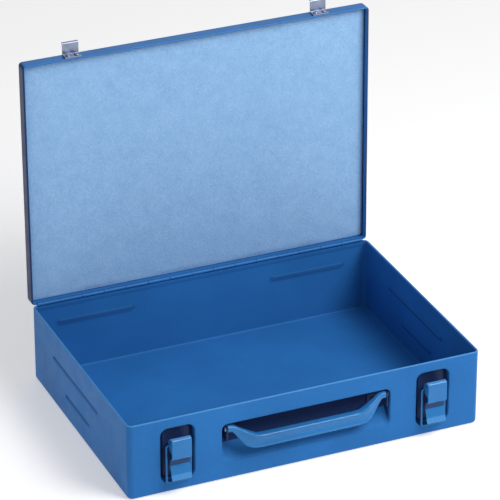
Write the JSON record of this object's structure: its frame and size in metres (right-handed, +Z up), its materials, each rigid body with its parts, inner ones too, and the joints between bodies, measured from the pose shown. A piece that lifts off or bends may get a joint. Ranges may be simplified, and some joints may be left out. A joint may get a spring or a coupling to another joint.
{
  "type": "sheet-steel carrying case",
  "caption": "Shallow sheet-steel case with a hinged pad-lined lid, draw latches and a folding carry handle, for storing and carrying small parts.",
  "frame": {"origin": "centre of the flat underside of the body, on the surface it stands on", "axes": "+X to the right of someone facing the handle, +Y towards the hinge, +Z up"},
  "size_m": [0.34, 0.2657, 0.3262],
  "materials": {
    "blue_paint": "semi-gloss stove enamel",
    "handle_paint": "semi-gloss stove enamel",
    "latch_paint": "gloss enamel",
    "foam": "matt open-cell foam sheet",
    "zinc": "zinc plated"
  },
  "bodies": {
    "body": {"body_pan": "blue_paint", "body_hinge_leaf": "blue_paint", "hinge_pin": "zinc", "handle_bracket_left": "blue_paint", "handle_bracket_right": "blue_paint", "handle_pin_left": "zinc", "handle_pin_right": "zinc", "handle_rivet_left_upper": "blue_paint", "handle_rivet_left_lower": "blue_paint", "handle_rivet_right_upper": "blue_paint", "handle_rivet_right_lower": "blue_paint", "latch_base_left": "blue_paint", "latch_base_right": "blue_paint", "latch_rivet_left_upper": "blue_paint", "latch_rivet_left_lower": "blue_paint", "latch_rivet_right_upper": "blue_paint", "latch_rivet_right_lower": "blue_paint", "latch_pin_left": "zinc", "latch_pin_right": "zinc"},
    "lid": {"lid_shell": "blue_paint", "lid_hinge_leaf": "blue_paint", "foam_pad": "foam", "strike_left": "zinc", "strike_right": "zinc", "strike_rivet_left_a": "zinc", "strike_rivet_left_b": "zinc", "strike_rivet_right_a": "zinc", "strike_rivet_right_b": "zinc"},
    "handle": {"handle": "handle_paint"},
    "lever_left": {"latch_lever_left": "latch_paint"},
    "lever_right": {"latch_lever_right": "latch_paint"},
    "bail_left": {"latch_bail_left": "latch_paint"},
    "bail_right": {"latch_bail_right": "latch_paint"}
  },
  "joints": [
    {"name": "lid_hinge", "type": "hinge", "parent": "body", "child": "lid", "pos_m": [0, 0.1195, 0.0743], "axis": [1, 0, 0], "range_deg": [0, 90.7]},
    {"name": "handle_swing", "type": "hinge", "parent": "body", "child": "handle", "pos_m": [0, -0.119, 0.0505], "axis": [-1, 0, 0], "range_deg": [0, 95]},
    {"name": "lever_left_pivot", "type": "hinge", "parent": "body", "child": "lever_left", "pos_m": [-0.1235, -0.124, 0.0525], "axis": [1, 0, 0], "range_deg": [-95, 0]},
    {"name": "lever_right_pivot", "type": "hinge", "parent": "body", "child": "lever_right", "pos_m": [0.1235, -0.124, 0.0525], "axis": [1, 0, 0], "range_deg": [-95, 0]},
    {"name": "bail_left_pivot", "type": "hinge", "parent": "lever_left", "child": "bail_left", "pos_m": [-0.1235, -0.1215, 0.048], "axis": [-1, 0, 0], "range_deg": [0, 172]},
    {"name": "bail_right_pivot", "type": "hinge", "parent": "lever_right", "child": "bail_right", "pos_m": [0.1235, -0.1215, 0.048], "axis": [-1, 0, 0], "range_deg": [0, 172]}
  ]
}
